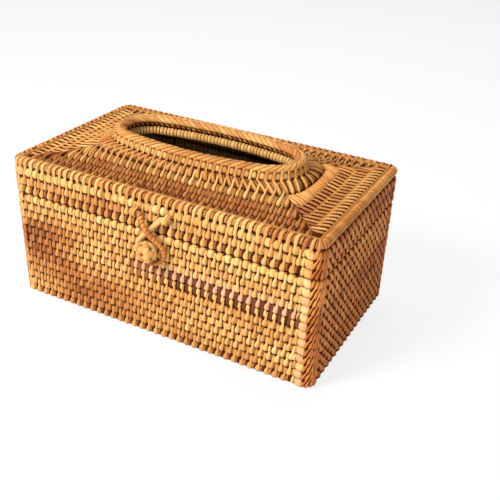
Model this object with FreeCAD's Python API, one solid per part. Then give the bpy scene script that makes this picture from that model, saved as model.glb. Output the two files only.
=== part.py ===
import FreeCAD
import Part
import math
import os

V = FreeCAD.Vector

# Coiled cane tissue box with a hinged lid, in millimetres.
# X runs along the length, Y from the front to the back, Z up.
# The origin is the centre of the underside, on the table.

# Overall size
box_length = 225.0
box_width = 130.0

# Bound cane courses of the walls
cane_width = 6.2
inner_corner_radius = 1.3
corner_steps = 3
wall_height = 76.7
wall_course_count = 13
seam_gap = 0.6
lid_skirt_height = 18.6
lid_course_count = 3
edge_roll_height = 6.4

# Floor courses
floor_cane_width = 6.2
floor_cane_height = 5.9

# Crown of the lid, from the edge roll up to the slot
crown_course_count = 5
crown_thickness = 5.6
crown_rise = 9.9
crown_sweep = 2.5
crown_corner_radius = 4.0

# Oval slot, its folded border and its wrapped lining
slot_length = 121.0
slot_width = 40.0
slot_end_radius = 15.0
slot_end_flat_angle = 25.0
border_width = 9.2
border_height = 9.5
border_lift = 0.55
border_leg_width = 2.3
border_leg_depth = 3.2
lining_height = 6.0
lining_setback = 0.6

# Hinge ties at the back
tie_spacing = 120.0
tie_width = 8.0
tie_thickness = 1.2
tie_core_diameter = 5.2
tie_running_fit = 0.08
tie_seat_fit = 0.03
tie_side_clearance = 0.4
tie_sweep_clearance = 2.1
tie_wall_clearance = 0.25

# Knob on the front wall
knob_diameter = 14.0
knob_stand_off = 0.5
peg_diameter = 3.2
peg_fit = 0.05
peg_recess = 1.6
stop_diameter = 7.0
stop_thickness = 2.4
hole_overshoot = 1.0

# Clasp loop on the lid
loop_rod_diameter = 3.8
rod_sides = 8
loop_ring_clearance = 0.7
loop_axis_stand_off = 2.6
loop_axis_rise = 22.4
loop_cross_gap = 0.5
loop_cross_run = 1.8
loop_end_bend = 2.6
loop_cross_bend = 5.0
eyelet_spacing = 23.6
eyelet_width = 4.0
eyelet_wall = 1.1
eyelet_fit = 0.08
eyelet_side_clearance = 0.5
eyelet_plate = 0.9
eyelet_overlap = 0.3

half_length = box_length / 2
half_width = box_width / 2
corner_radius = inner_corner_radius + cane_width

wall_course_height = wall_height / wall_course_count
lid_course_height = lid_skirt_height / lid_course_count
lid_bottom = wall_height + seam_gap
skirt_top = lid_bottom + lid_skirt_height
edge_top = skirt_top + edge_roll_height

# The lid turns about the middle of its lowest cane along the back
hinge_y = half_width - cane_width / 2
hinge_z = lid_bottom + lid_course_height / 2
wall_core_z = wall_height - wall_course_height / 2

# The loop turns in its eyelets at the seam above the second lid course
loop_axis_y = -half_width - loop_axis_stand_off
loop_axis_z = lid_bottom + 2 * lid_course_height
knob_y = -half_width - knob_stand_off - knob_diameter / 2
knob_z = loop_axis_z - loop_axis_rise

os.makedirs("parts", exist_ok=True)


def save(name, shape):
    shape.exportStep("parts/" + name + ".step")


def as_solid(faces):
    skin = Part.makeCompound(faces)
    skin.sewShape()
    solid = Part.Solid(skin.Shells[0])
    if solid.Volume < 0:
        solid.reverse()
    return solid


def bound_section(width, low, high):
    # Twelve-sided profile of a bound cane: flat where it beds on its neighbours, full at the sides.
    # Each point is the inset from the outer face and the height.
    middle = (low + high) / 2
    half = (high - low) / 2
    bed = 0.29 * width / 2
    shoulder = 0.73 * width / 2
    points = []
    for side, height in ((bed, 1.0), (shoulder, 0.75), (width / 2, 0.26)):
        points.append((side, height))
    quarter = [(s, h * half) for s, h in points]
    ring = [(-s, h) for s, h in quarter]
    ring += [(-s, -h) for s, h in reversed(quarter)]
    ring += [(s, -h) for s, h in quarter]
    ring += [(s, h) for s, h in reversed(quarter)]
    return [(width / 2 + s, middle + h) for s, h in ring]


def bent_outline(inset, z, length, width, radius):
    # Rectangle whose corners bend in equal steps, each flat tangent to the corner arc
    reach = radius - inset
    step = 90.0 / corner_steps
    tip = reach / math.cos(math.radians(step / 2))
    points = []
    corners = ((1, -1, -90.0), (1, 1, 0.0), (-1, 1, 90.0), (-1, -1, 180.0))
    for sx, sy, start in corners:
        centre_x = sx * (length - radius)
        centre_y = sy * (width - radius)
        for k in range(corner_steps):
            angle = math.radians(start + step * (k + 0.5))
            points.append(V(centre_x + tip * math.cos(angle), centre_y + tip * math.sin(angle), z))
    return points


def square_outline(inset, z, length, width):
    a = length - inset
    b = width - inset
    return [V(a, -b, z), V(a, b, z), V(-a, b, z), V(-a, -b, z)]


def ring_of_flats(loops):
    faces = []
    for near, far in zip(loops, loops[1:] + loops[:1]):
        count = len(near)
        for k in range(count):
            n = (k + 1) % count
            faces.append(Part.Face(Part.makePolygon([near[k], near[n], far[n], far[k], near[k]])))
    return as_solid(faces)


def wall_ring(low, high):
    section = bound_section(cane_width, low, high)
    loops = [bent_outline(i, z, half_length, half_width, corner_radius) for i, z in section]
    return ring_of_flats(loops)


def curve(points):
    start, middle, end = points
    if abs((middle - start).cross(end - start).Length) < 1e-6:
        return Part.LineSegment(start, end).toShape()
    return Part.Arc(start, middle, end).toShape()


def ring_of_curves(loops):
    faces = []
    for near, far in zip(loops, loops[1:] + loops[:1]):
        for a, b in zip(near, far):
            faces.append(Part.makeRuledSurface(curve(a), curve(b)))
    return as_solid(faces)


def along(a, b, share):
    return [[p + (q - p) * share for p, q in zip(m, n)] for m, n in zip(a, b)]


def lifted(outline, z):
    return [[V(p.x, p.y, z) for p in part] for part in outline]


def rounded_outline(a, b, r):
    # Four sides and four corner arcs, each as start, middle and end
    parts = []
    diag = r * math.sqrt(0.5)
    parts.append([V(-a + r, -b, 0), V(0, -b, 0), V(a - r, -b, 0)])
    parts.append([V(a - r, -b, 0), V(a - r + diag, -b + r - diag, 0), V(a, -b + r, 0)])
    parts.append([V(a, -b + r, 0), V(a, 0, 0), V(a, b - r, 0)])
    parts.append([V(a, b - r, 0), V(a - r + diag, b - r + diag, 0), V(a - r, b, 0)])
    parts.append([V(a - r, b, 0), V(0, b, 0), V(-a + r, b, 0)])
    parts.append([V(-a + r, b, 0), V(-a + r - diag, b - r + diag, 0), V(-a, b - r, 0)])
    parts.append([V(-a, b - r, 0), V(-a, 0, 0), V(-a, -b + r, 0)])
    parts.append([V(-a, -b + r, 0), V(-a + r - diag, -b + r - diag, 0), V(-a + r, -b, 0)])
    return parts


def oval_outline(offset):
    # Four-centred oval of the slot, grown outwards by the offset, in the same eight parts
    end_x = slot_length / 2 - slot_end_radius
    spare = slot_width / 2 - slot_end_radius
    side_y = (end_x ** 2 - spare ** 2) / (2 * spare)
    end_radius = slot_end_radius + offset
    meet = math.atan2(side_y, end_x)
    flat = math.radians(slot_end_flat_angle)

    def end_point(sx, angle):
        return V(sx * (end_x + end_radius * math.cos(angle)), end_radius * math.sin(angle), 0)

    side = slot_width / 2 + offset
    between = (meet + flat) / 2
    parts = []
    parts.append([end_point(-1, -meet), V(0, -side, 0), end_point(1, -meet)])
    parts.append([end_point(1, -meet), end_point(1, -between), end_point(1, -flat)])
    parts.append([end_point(1, -flat), end_point(1, 0), end_point(1, flat)])
    parts.append([end_point(1, flat), end_point(1, between), end_point(1, meet)])
    parts.append([end_point(1, meet), V(0, side, 0), end_point(-1, meet)])
    parts.append([end_point(-1, meet), end_point(-1, between), end_point(-1, flat)])
    parts.append([end_point(-1, flat), end_point(-1, 0), end_point(-1, -flat)])
    parts.append([end_point(-1, -flat), end_point(-1, -between), end_point(-1, -meet)])
    return parts


# Hinge necks, where the peel is left off and a tie goes round the bare core
tie_places = (("left", -tie_spacing / 2), ("right", tie_spacing / 2))
neck_length = tie_width + 2 * tie_side_clearance


def bare_core(course, z, height):
    for name, x in tie_places:
        start = x - neck_length / 2
        gap = Part.makeBox(neck_length, cane_width * 2, height * 2, V(start, hinge_y - cane_width, z - height))
        core = Part.makeCylinder(tie_core_diameter / 2, neck_length + cane_width,
                                 V(start - cane_width / 2, hinge_y, z), V(1, 0, 0))
        course = course.cut(gap).fuse(core)
    return course


def relieved(course, z, radius):
    for name, x in tie_places:
        start = x - neck_length / 2
        cutter = Part.makeCylinder(radius, neck_length, V(start, hinge_y, z), V(1, 0, 0))
        course = course.cut(cutter)
    return course


tie_bore = tie_core_diameter / 2 + tie_running_fit
tie_outer = tie_bore + tie_thickness
tie_seat = tie_core_diameter / 2 + tie_seat_fit
peg_hole = peg_diameter / 2 + peg_fit
peg_inner_y = -half_width + cane_width

# Wall courses, from the table up
for number in range(1, wall_course_count + 1):
    low = (number - 1) * wall_course_height
    high = number * wall_course_height
    course = wall_ring(low, high)
    if number == wall_course_count:
        course = bare_core(course, wall_core_z, wall_course_height)
    if number == wall_course_count - 1:
        course = relieved(course, wall_core_z, tie_outer + tie_wall_clearance)
    if low < knob_z + peg_hole and high > knob_z - peg_hole:
        hole_front = -half_width - hole_overshoot
        hole = Part.makeCylinder(peg_hole, cane_width + 2 * hole_overshoot, V(0, hole_front, knob_z), V(0, 1, 0))
        course = course.cut(hole)
    save("wall_course_%02d" % number, course)

# Floor: square nested courses inside the lowest wall course, closed by one straight cane
floor_length = half_length - cane_width
floor_width = half_width - cane_width
floor_count = int((floor_width - floor_cane_width / 4) / floor_cane_width)
floor_section = bound_section(floor_cane_width, 0, floor_cane_height)
wall_inside = bent_outline(cane_width, 0, half_length, half_width, corner_radius)
floor_space = Part.Face(Part.makePolygon(wall_inside + wall_inside[:1])).extrude(V(0, 0, floor_cane_height))
for number in range(1, floor_count + 1):
    shift = (number - 1) * floor_cane_width
    loops = [square_outline(shift + i, z, floor_length, floor_width) for i, z in floor_section]
    course = ring_of_flats(loops)
    if number == 1:
        course = course.common(floor_space)
    save("floor_course_%02d" % number, course)

heart_width = 2 * (floor_width - floor_count * floor_cane_width)
heart_length = floor_length - floor_count * floor_cane_width
heart_profile = [V(-heart_length, i - heart_width / 2, z) for i, z in bound_section(heart_width, 0, floor_cane_height)]
heart = Part.Face(Part.makePolygon(heart_profile + heart_profile[:1])).extrude(V(2 * heart_length, 0, 0))
save("floor_heart_cane", heart)

# Lid skirt and its edge roll
for number in range(1, lid_course_count + 1):
    low = lid_bottom + (number - 1) * lid_course_height
    high = lid_bottom + number * lid_course_height
    course = wall_ring(low, high)
    if number == 1:
        course = bare_core(course, hinge_z, lid_course_height)
    if number == 2:
        course = relieved(course, hinge_z, tie_outer + tie_sweep_clearance)
    save("lid_course_%02d" % number, course)
save("lid_edge_roll", wall_ring(skirt_top, edge_top))

# Crown: nested courses that turn from a rectangle into the oval as they climb to the slot
crown_edge_z = skirt_top + edge_roll_height / 2
crown_slot_z = crown_edge_z + crown_rise
crown_edge = rounded_outline(half_length - cane_width, half_width - cane_width, crown_corner_radius)
crown_slot = oval_outline(border_width)


def crown_height(share):
    return crown_edge_z + crown_rise * share ** crown_sweep


def crown_loop(share, height):
    return lifted(along(crown_edge, crown_slot, share), crown_height(share) + height)


crown_flat = 0.2 * crown_thickness
for number in range(1, crown_course_count + 1):
    outer = (number - 1) / crown_course_count
    inner = number / crown_course_count
    lip = 0.27 / crown_course_count
    half = crown_thickness / 2
    loops = [crown_loop(outer, -crown_flat), crown_loop(outer, crown_flat)]
    loops += [crown_loop(outer + lip, half), crown_loop(inner - lip, half)]
    loops += [crown_loop(inner, crown_flat), crown_loop(inner, -crown_flat)]
    loops += [crown_loop(inner - lip, -half), crown_loop(outer + lip, -half)]
    save("crown_course_%02d" % number, ring_of_curves(loops))

# Slot border: a full roll with one leg folded down between the last crown course and the lining
roll_low = crown_slot_z + border_lift
roll_middle = roll_low + border_height / 2
leg_low = crown_slot_z - border_leg_depth
leg_inner = border_width - border_leg_width
border_section = [(leg_inner, leg_low), (border_width, leg_low)]
for angle in (0, 45, 90, 135, 180):
    turn = math.radians(angle)
    border_section.append((border_width / 2 * (1 + math.cos(turn)),
                           roll_middle + border_height / 2 * math.sin(turn)))
border_section += [(0.07 * border_width, roll_middle - 0.26 * border_height)]
border_section += [(0.27 * border_width, roll_low), (leg_inner, roll_low)]
save("slot_border_roll", ring_of_curves([lifted(oval_outline(d), z) for d, z in border_section]))

# Slot lining under the roll, against the inside of the leg
lining_low = roll_low - lining_height
lining_middle = roll_low - lining_height / 2
lining_lip = 0.28 * (leg_inner - lining_setback)
lining_flat = 0.21 * lining_height
lining_section = [(leg_inner, lining_middle - lining_flat), (leg_inner, lining_middle + lining_flat)]
lining_section += [(leg_inner - lining_lip, roll_low), (lining_setback + lining_lip, roll_low)]
lining_section += [(lining_setback, lining_middle + lining_flat), (lining_setback, lining_middle - lining_flat)]
lining_section += [(lining_setback + lining_lip, lining_low), (leg_inner - lining_lip, lining_low)]
save("slot_lining_ring", ring_of_curves([lifted(oval_outline(d), z) for d, z in lining_section]))

# Hinge ties: a peel band round the top wall core and the lid core
for name, x in tie_places:
    start = x - tie_width / 2
    drop = hinge_z - wall_core_z
    upper = V(start, hinge_y, hinge_z)
    lower = V(start, hinge_y, wall_core_z)
    band = Part.makeCylinder(tie_outer, tie_width, upper, V(1, 0, 0))
    band = band.fuse(Part.makeCylinder(tie_outer, tie_width, lower, V(1, 0, 0)))
    band = band.fuse(Part.makeBox(tie_width, 2 * tie_outer, drop, V(start, hinge_y - tie_outer, wall_core_z)))
    band = band.cut(Part.makeCylinder(tie_bore, tie_width, upper, V(1, 0, 0)))
    band = band.cut(Part.makeCylinder(tie_seat, tie_width, lower, V(1, 0, 0)))
    band = band.cut(Part.makeBox(tie_width, 2 * tie_seat, drop, V(start, hinge_y - tie_seat, wall_core_z)))
    save("hinge_tie_" + name, band.removeSplitter())

# Knob: a ball on a peg that goes through the wall to a stop inside
ball = Part.makeSphere(knob_diameter / 2, V(0, knob_y, knob_z), V(0, 1, 0))
bore_front = knob_y - knob_diameter / 2 - hole_overshoot
bore = Part.makeCylinder(peg_hole, knob_diameter + 2 * hole_overshoot, V(0, bore_front, knob_z), V(0, 1, 0))
save("knob_ball", ball.cut(bore))
peg_front = knob_y - knob_diameter / 2 + peg_recess
peg_back = peg_inner_y + stop_thickness
save("knob_peg", Part.makeCylinder(peg_diameter / 2, peg_back - peg_front, V(0, peg_front, knob_z), V(0, 1, 0)))
stop = Part.makeCylinder(stop_diameter / 2, stop_thickness, V(0, peg_inner_y, knob_z), V(0, 1, 0))
stop = stop.makeChamfer(stop_thickness / 3, [stop.Edges[0]])
stop = stop.cut(Part.makeCylinder(peg_hole, stop_thickness, V(0, peg_inner_y, knob_z), V(0, 1, 0)))
save("knob_inner_stop", stop)

# Clasp loop: two crossed legs above a ring that drops over the knob.
# Points are the place along X, the drop below the axis and the distance out from the axis.
rod_radius = loop_rod_diameter / 2
ring_radius = knob_diameter / 2 + loop_ring_clearance + rod_radius
knob_out = loop_axis_y - knob_y
ring_drop = math.hypot(loop_axis_rise, knob_out)
pin_x = eyelet_spacing / 2 - eyelet_width / 2 - eyelet_side_clearance
bend_x = pin_x - loop_end_bend / 2
end_x = eyelet_spacing / 2 + eyelet_width / 2 + eyelet_side_clearance
reach = math.hypot(bend_x, ring_drop)
lean = math.atan2(bend_x, ring_drop) + math.asin(ring_radius / reach)
cross_drop = bend_x / math.tan(lean)
cross_out = loop_rod_diameter + loop_cross_gap
cross_step = loop_cross_run / math.tan(lean)
ring_turns = 4
ring_turn = (math.pi + 2 * lean) / ring_turns
ring_tip = ring_radius / math.cos(ring_turn / 2)

loop_points = [(-pin_x, 0, 0), (-bend_x, 0, 0)]
loop_points.append((-loop_cross_run, cross_drop - cross_step, cross_out))
loop_points.append((loop_cross_run, cross_drop + cross_step, cross_out))
loop_bends = [0, loop_end_bend, loop_cross_bend, loop_cross_bend]
for k in range(ring_turns):
    # Corners of the flats that touch the ring, from the right side round the bottom to the left
    angle = math.pi / 2 + lean - ring_turn * (k + 0.5)
    loop_points.append((ring_tip * math.sin(angle), ring_drop + ring_tip * math.cos(angle), 0))
    loop_bends.append(ring_radius * 0.98)
loop_points += [(bend_x, 0, 0), (pin_x, 0, 0)]
loop_bends += [loop_end_bend, 0]


def bent_path(points, bends):
    # Straight runs joined by tangent arcs
    edges = []
    last = points[0]
    for k in range(1, len(points) - 1):
        to_here = (points[k] - points[k - 1]).normalize()
        to_next = (points[k + 1] - points[k]).normalize()
        turn = to_here.getAngle(to_next)
        setback = bends[k] * math.tan(turn / 2)
        start = points[k] - to_here * setback
        end = points[k] + to_next * setback
        inward = (to_next - to_here).normalize()
        middle = points[k] + inward * (bends[k] / math.cos(turn / 2) - bends[k])
        if (start - last).Length > 1e-4:
            edges.append(Part.LineSegment(last, start).toShape())
        edges.append(Part.Arc(start, middle, end).toShape())
        last = end
    edges.append(Part.LineSegment(last, points[-1]).toShape())
    return Part.Wire(edges)


loop_places = [V(x, loop_axis_y - out, loop_axis_z - drop) for x, drop, out in loop_points]
loop_path = bent_path(loop_places, loop_bends)
rod_profile = []
for k in range(rod_sides + 1):
    angle = 2 * math.pi * (k + 0.5) / rod_sides
    rod_profile.append(loop_places[0] + V(0, rod_radius * math.cos(angle), rod_radius * math.sin(angle)))
loop = loop_path.makePipeShell([Part.makePolygon(rod_profile)], True, False)
for start in (-end_x, pin_x):
    loop = loop.fuse(Part.makeCylinder(rod_radius, end_x - pin_x, V(start, loop_axis_y, loop_axis_z), V(1, 0, 0)))
save("clasp_loop", loop)

# Eyelets: a strap on the two lid courses that meet at the loop's axis, with a round bore
eyelet_bore = rod_radius + eyelet_fit
eyelet_half = lid_course_height / 2 + eyelet_overlap
for name, x in (("left", -eyelet_spacing / 2), ("right", eyelet_spacing / 2)):
    start = x - eyelet_width / 2
    axis = V(start, loop_axis_y, loop_axis_z)
    strap = Part.makeCylinder(eyelet_bore + eyelet_wall, eyelet_width, axis, V(1, 0, 0))
    plate = Part.makeBox(eyelet_width, eyelet_plate, 2 * eyelet_half,
                         V(start, -half_width - eyelet_plate, loop_axis_z - eyelet_half))
    strap = strap.fuse(plate)
    wall = Part.makeBox(eyelet_width, cane_width, 4 * eyelet_half,
                        V(start, -half_width, loop_axis_z - 2 * eyelet_half))
    strap = strap.cut(wall)
    strap = strap.cut(Part.makeCylinder(eyelet_bore, eyelet_width, axis, V(1, 0, 0)))
    save("loop_eyelet_" + name, strap.removeSplitter())
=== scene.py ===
import math
import bpy
import numpy as np
from mathutils import Matrix, Vector


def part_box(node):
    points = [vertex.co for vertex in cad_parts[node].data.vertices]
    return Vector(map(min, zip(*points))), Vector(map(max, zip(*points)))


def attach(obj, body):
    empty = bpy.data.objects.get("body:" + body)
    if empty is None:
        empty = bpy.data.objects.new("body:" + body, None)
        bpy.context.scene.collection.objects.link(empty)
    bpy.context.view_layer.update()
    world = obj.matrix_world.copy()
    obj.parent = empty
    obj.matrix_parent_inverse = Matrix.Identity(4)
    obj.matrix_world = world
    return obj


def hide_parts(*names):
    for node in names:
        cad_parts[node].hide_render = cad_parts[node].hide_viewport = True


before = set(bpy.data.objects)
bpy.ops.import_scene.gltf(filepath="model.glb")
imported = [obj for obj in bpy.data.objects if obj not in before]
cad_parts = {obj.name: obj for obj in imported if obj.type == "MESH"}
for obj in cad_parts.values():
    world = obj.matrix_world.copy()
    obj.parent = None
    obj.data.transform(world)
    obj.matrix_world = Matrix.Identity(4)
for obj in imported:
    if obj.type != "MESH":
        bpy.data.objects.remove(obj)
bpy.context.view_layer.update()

mm = 0.001

# colours as seen on a screen; the peel goes from palest straw to darkest brown
tints = {
    "peel": [(0.00, (240, 208, 145)), (0.20, (230, 185, 113)), (0.40, (214, 157, 87)), (0.60, (194, 127, 65)),
             (0.80, (166, 96, 47)), (1.00, (126, 66, 32)), (1.30, (74, 36, 16))],
    "pink": (226, 170, 128),
    "pad": (232, 186, 138),
    # painted shade: the cane cores under the stitches are tinted near-black so that the gaps between stitches
    # read dark
    "core": (78, 38, 14),
    "edgeFiller": (182, 124, 66),
    "floorCore": (120, 78, 46),
    "claspCore": (150, 96, 56),
    "claspRod": (218, 172, 108),
    "redder": (1.1, 0.95, 0.84),
    # painted shade: stitches inside the box are darkened to a third
    "inside": 0.33,
    # painted shade under the crown
    "underCrownShade": 0.3,
}


def readOff(place, at, values):
    # columns of values known at some stations, read between them
    return np.stack([np.interp(place, at, values[:, k]) for k in range(values.shape[1])], -1)


def runLength(line):
    return np.concatenate([[0], np.cumsum(np.linalg.norm(np.diff(line, axis=0), axis=1))])


def fullTurn(count):
    return np.linspace(0, 2 * math.pi, count, endpoint=False)


def evenly(first, last, count, shift=0.5):
    return first + (np.arange(count) + shift) * (last - first) / count


def linear(colour):
    c = np.asarray(colour, float) / 255
    return np.where(c <= 0.04045, c / 12.92, ((c + 0.055) / 1.055) ** 2.4)


rampAt = np.array([at for at, colour in tints["peel"]])
rampColours = linear([colour for at, colour in tints["peel"]])


def peelTint(tone):
    return readOff(tone, rampAt, rampColours)


# where things are, in millimetres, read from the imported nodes
def span(node):
    low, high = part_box(node)
    return np.array(low) / mm, np.array(high) / mm


def rowNodes(kind):
    return sorted(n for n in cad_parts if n.startswith(kind + "_course"))


wallRows, lidRows, crownRows, floorRows = (rowNodes(kind) for kind in ("wall", "lid", "crown", "floor"))

wall = {"cane": 6.2, "corner": 7.5}
halfLength, halfWidth = span(wallRows[0])[1][:2]
cornerBend = wall["corner"] * math.pi / 2
corners = ((-1, -1), (1, -1), (1, 1), (-1, 1))  # the front left one, then on by the right


class Round:
    # the outer wall as one line: front, right, back and left, with round corners
    def __init__(self):
        a, b = halfLength - wall["corner"], halfWidth - wall["corner"]
        self.runs = []
        self.starts = [0.0]
        for side, (sx, sy) in enumerate(corners):
            length = 2 * (b if side % 2 else a)
            self.runs.append((length, side * math.pi / 2, sx * a, sy * b))
            self.starts.append(self.starts[-1] + length + cornerBend)
        self.total = self.starts.pop()

    def place(self, along, out, z):
        along = np.mod(along, self.total)
        x, y = np.zeros_like(along), np.zeros_like(along)
        away = wall["corner"] + out
        for start, (length, turn, cx, cy) in zip(self.starts, self.runs):
            at = along - start
            dx, dy = math.cos(turn), math.sin(turn)
            straight = (at >= 0) & (at < length)
            x = np.where(straight, cx + dx * at + dy * away, x)
            y = np.where(straight, cy + dy * at - dx * away, y)
            bent = (at >= length) & (at < length + cornerBend + 1e-9)
            angle = turn - math.pi / 2 + (at - length) / wall["corner"]
            x = np.where(bent, cx + dx * length + np.cos(angle) * away, x)
            y = np.where(bent, cy + dy * length + np.sin(angle) * away, y)
        return np.stack([x, y, np.broadcast_to(z, x.shape)], -1)


outerWall = Round()
print("wall round %.1f mm" % outerWall.total)


def gridQuads(rows, columns, rowsMeet=False, columnsMeet=False):
    j = np.arange(rows if rowsMeet else rows - 1)[:, None]
    i = np.arange(columns if columnsMeet else columns - 1)[None]
    n, k = (j + 1) % rows, (i + 1) % columns
    return np.stack([j * columns + i, j * columns + k, n * columns + k, n * columns + i], -1).reshape(-1, 4)


def endShade(along, reach):
    return np.clip(1 - np.minimum(along, 1 - along) / reach, 0, 1)


def edgeShade(side):
    return np.clip((np.abs(side) - 0.45) / 0.55, 0, 1) ** 2


# one peel stitch, modelled flat: across is X, along is Y, off the cane is Z
def modelStitch(name, profile, columns=4, roll=1.0, edge=0.32):
    apart = 100  # shaped rows stand off until all are shaped
    bpy.ops.object.select_all(action="DESELECT")
    bpy.ops.mesh.primitive_grid_add(x_subdivisions=columns, y_subdivisions=len(profile) - 1, size=2)
    stitch = bpy.context.object
    stitch.name = name
    rowStep = 2 / (len(profile) - 1)
    for number, (place, lift, width, *swing) in enumerate(profile):
        rowAt = -1 + number * rowStep
        bpy.ops.object.mode_set(mode="EDIT")
        bpy.ops.mesh.select_all(action="DESELECT")
        bpy.ops.object.mode_set(mode="OBJECT")
        for v in stitch.data.vertices:
            v.select = abs(v.co.y - rowAt) < rowStep / 4
        bpy.ops.object.mode_set(mode="EDIT")
        bpy.ops.transform.resize(value=(width / 2, 1, 1), center_override=(0, 0, 0))
        bpy.ops.transform.translate(value=(sum(swing), apart + place - rowAt, lift))
        bpy.ops.object.mode_set(mode="OBJECT")
    bpy.ops.object.mode_set(mode="EDIT")
    bpy.ops.mesh.select_all(action="SELECT")
    bpy.ops.transform.translate(value=(0, -apart, 0))
    bpy.ops.object.mode_set(mode="OBJECT")
    count = columns + 1
    flat = np.array([v.co for v in stitch.data.vertices]).reshape(len(profile), count, 3)
    bpy.data.objects.remove(stitch)
    side = np.linspace(-1, 1, count)
    along = np.linspace(0, 1, len(profile))
    half = np.array([row[2] / 2 for row in profile])
    fall = 0.34 * side ** 2 + 0.66 * side ** 6  # flat on top, round at the edges
    flat[:, :, 2] -= roll * fall[None] * np.minimum(half, 1.4)[:, None] * 0.62
    # painted shade: each stitch darkens towards its ends, where it dives under its neighbours, and along its
    # edges
    tuckShade = np.clip(endShade(along, 0.16)[:, None] ** 1.5 + edge * edgeShade(side)[None], 0, 1)
    return {
        "verts": flat.reshape(-1, 3),
        "quads": gridQuads(len(profile), count),
        "tuckShade": tuckShade.ravel(),
        "cell": np.stack(np.meshgrid(np.linspace(0, 1, count), along), -1).reshape(-1, 2),
    }


class Weave:
    # gathers laid stitches, canes and bands, then makes one mesh of them
    def __init__(self, seed):
        self.rng = np.random.default_rng(seed)
        self.parts = []
        self.points = 0
        self.copies = 0

    def add(self, verts, quads, tuckShade, colour, grain, cell, bare=False):
        # verts: copies, points of a copy, xyz
        n, size = verts.shape[:2]
        faces = (quads[None] + (self.points + np.arange(n) * size)[:, None, None]).reshape(-1, 4)
        self.parts.append((
            verts.reshape(-1, 3), faces, np.broadcast_to(tuckShade, (n, size)).ravel(),
            *(np.broadcast_to(values, (n, size, width)).reshape(-1, width)
              for values, width in ((colour, 3), (grain, 2), (cell, 2))),
            self.copies + np.repeat(np.arange(n), size), np.full(len(faces), int(bare), np.int32)))
        self.points += n * size
        self.copies += n

    def lay(self, stitch, put, along, colour, across=0.0, lean=0.0, widen=1.0, lengthen=1.0, lift=0.0,
            flip=False):
        # one copy for each place along; the rest is one value or one for each copy
        n = len(along)
        if n == 0:
            return
        along, across, lean, widen, lengthen, lift = (
            np.broadcast_to(v, n)[:, None] for v in (along, across, lean, widen, lengthen, lift))
        flat = stitch["verts"]
        x, y = flat[:, 0] * widen, flat[:, 1] * lengthen
        grain = np.stack([x, y], -1) + self.rng.uniform(0, 300, (n, 1, 2))
        quads = stitch["quads"][:, ::-1] if flip else stitch["quads"]
        verts = put(along + x + lean * y, across + y, flat[:, 2] + lift)
        self.add(verts, quads, stitch["tuckShade"], colour[:, None], grain, stitch["cell"])

    # painted shade: by default a core takes the near-black core tint and is darkened further, for the gaps it
    # shows through
    def core(self, rings, colour=tints["core"], closed=True, tuckShade=0.35, bare=True):
        # rings: stations, points round the cane, xyz
        stations, sides = rings.shape[:2]
        quads = gridQuads(stations, sides, closed, True)[:, [0, 3, 2, 1]]
        u = np.linspace(0.02, 0.98, stations)[:, None] * np.ones(sides)
        v = np.ones(stations)[:, None] * np.linspace(0.05, 0.95, sides)
        grain = np.stack([v * 12, u * 400], -1).reshape(-1, 2)
        cell = np.stack([u, v], -1).reshape(-1, 2)
        self.add(rings.reshape(1, -1, 3), quads, tuckShade, linear(colour), grain, cell, bare)

    def band(self, grid, colour, closed=False, tuckEnds=0.0, edge=0.55):
        # grid: stations along the strip, columns across it, xyz
        stations, columns = grid.shape[:2]
        side = np.linspace(-1, 1, columns)
        along = np.linspace(0, 1, stations)
        tuckShade = np.clip(endShade(along, 0.1)[:, None] * tuckEnds + edgeShade(side)[None] * edge, 0, 1)
        wide = np.linalg.norm(grid[0, -1] - grid[0, 0])
        run = runLength(grid[:, columns // 2])
        grain = np.stack(np.meshgrid(side * wide / 2, run), -1) + self.rng.uniform(0, 300, 2)
        cell = np.stack(np.meshgrid((side + 1) / 2, along), -1)
        self.add(grid.reshape(1, -1, 3), gridQuads(stations, columns, closed), tuckShade.ravel(), colour,
                 grain.reshape(-1, 2), cell.reshape(-1, 2))

    def make(self, name, nodes, body, slotName):
        verts, faces, tuckShade, colour, grain, cell, copy, bare = (np.concatenate(c) for c in zip(*self.parts))
        # every copy bakes into a cell of its own
        columns = max(1, math.ceil(math.sqrt(self.copies * 0.6)))
        corner = np.stack([copy % columns, copy // columns], -1)
        baked = (corner + 0.06 + 0.88 * cell) / np.array([columns, math.ceil(self.copies / columns)])
        mesh = bpy.data.meshes.new(name)
        mesh.from_pydata((verts * mm).tolist(), [], faces.tolist())
        at = np.empty(len(mesh.loops), np.int32)
        mesh.loops.foreach_get("vertex_index", at)
        for layer, values in (("OFBake", baked), ("grain", grain)):
            uv = mesh.uv_layers.new(name=layer, do_init=False)
            uv.uv.foreach_set("vector", values[at].astype(np.float32).ravel())
        full = np.ones((len(verts), 4), np.float32)
        full[:, :3] = colour
        mesh.attributes.new("peel", "FLOAT_COLOR", "POINT").data.foreach_set("color", full.ravel())
        mesh.attributes.new("tuckShade", "FLOAT", "POINT").data.foreach_set("value", tuckShade.astype(np.float32))
        mesh.shade_smooth()
        mesh.materials.append(materials[slotName])
        mesh.materials.append(materials["bare_cane"])
        mesh.polygons.foreach_set("material_index", bare)
        piece = bpy.data.objects.new(name, mesh)
        bpy.context.scene.collection.objects.link(piece)
        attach(piece, body)
        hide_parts(*nodes)


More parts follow.
